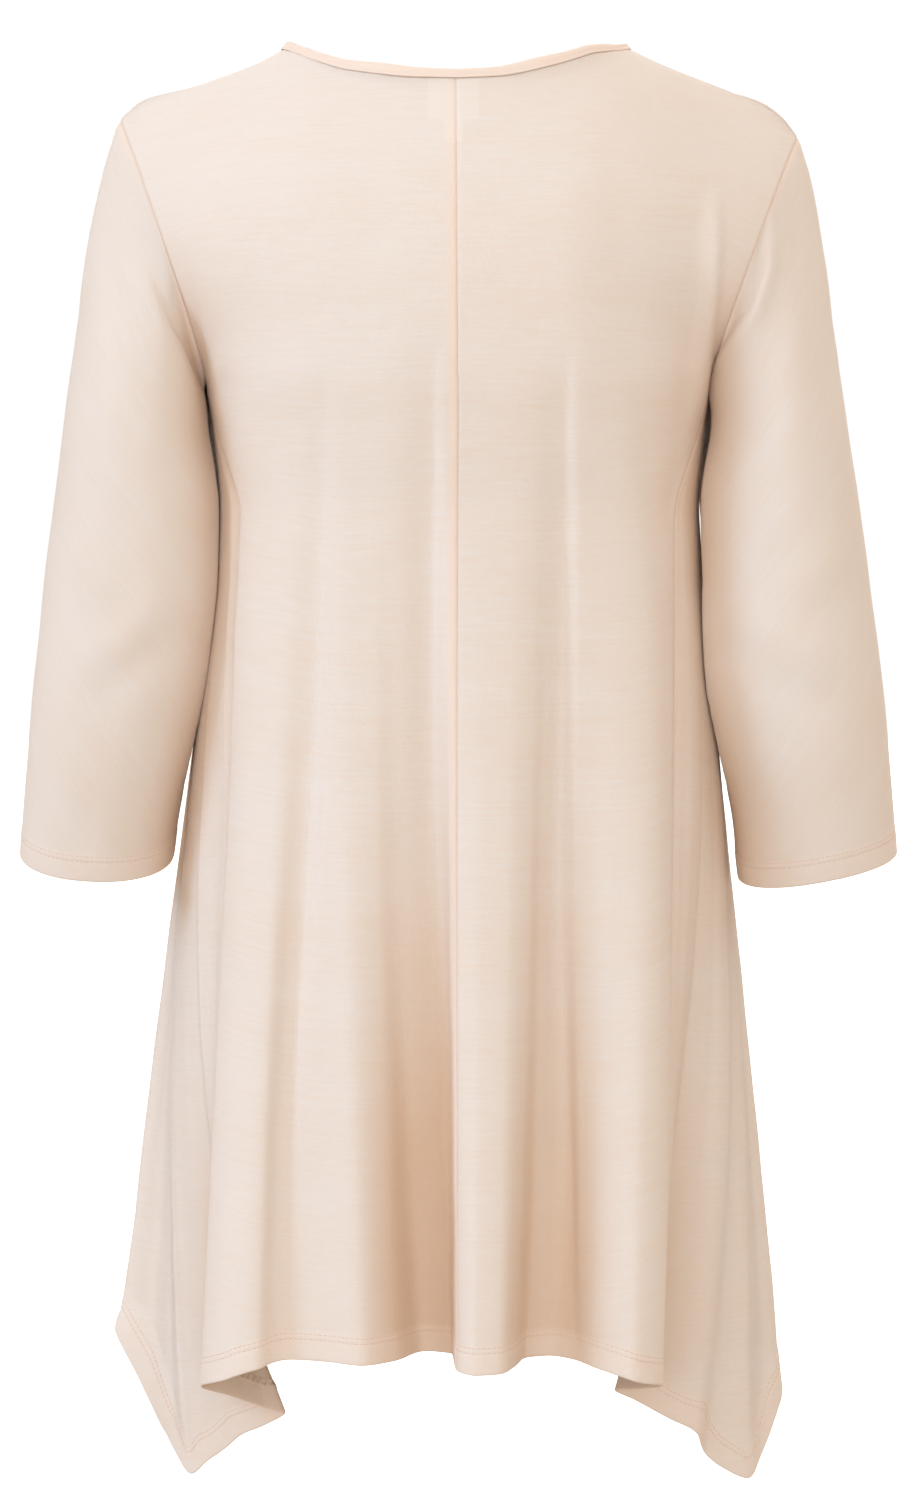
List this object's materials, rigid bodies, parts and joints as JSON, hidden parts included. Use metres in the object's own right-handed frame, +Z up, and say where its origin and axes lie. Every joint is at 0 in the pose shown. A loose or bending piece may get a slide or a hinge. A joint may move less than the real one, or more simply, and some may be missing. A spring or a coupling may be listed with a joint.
{
  "type": "loose jersey tunic",
  "caption": "Loose A-line jersey tunic with a bound boat neck, three-quarter sleeves, a centre back seam and side panels that end in hanging points.",
  "frame": {"origin": "midway between the two points where the shoulders meet the neck", "axes": "+X towards the right of the picture, across the shoulders; +Y from the back of the garment to its front; +Z up"},
  "size_m": [0.5323, 0.292, 0.8781],
  "materials": {
    "back_left_cloth": "matte fine jersey",
    "back_right_cloth": "matte fine jersey",
    "front_cloth": "matte fine jersey",
    "side_panel_left_cloth": "matte fine jersey",
    "side_panel_right_cloth": "matte fine jersey",
    "sleeve_left_cloth": "matte fine jersey",
    "sleeve_right_cloth": "matte fine jersey",
    "binding_cloth": "matte fine jersey",
    "label_weave": "woven",
    "tab_weave": "woven"
  },
  "bodies": {
    "root": {"back_left": "back_left_cloth", "back_right": "back_right_cloth", "front": "front_cloth", "side_panel_left": "side_panel_left_cloth", "side_panel_right": "side_panel_right_cloth", "sleeve_left": "sleeve_left_cloth", "sleeve_right": "sleeve_right_cloth", "neck_binding": "binding_cloth", "neck_label": "label_weave", "size_tab": "tab_weave"}
  },
  "joints": []
}
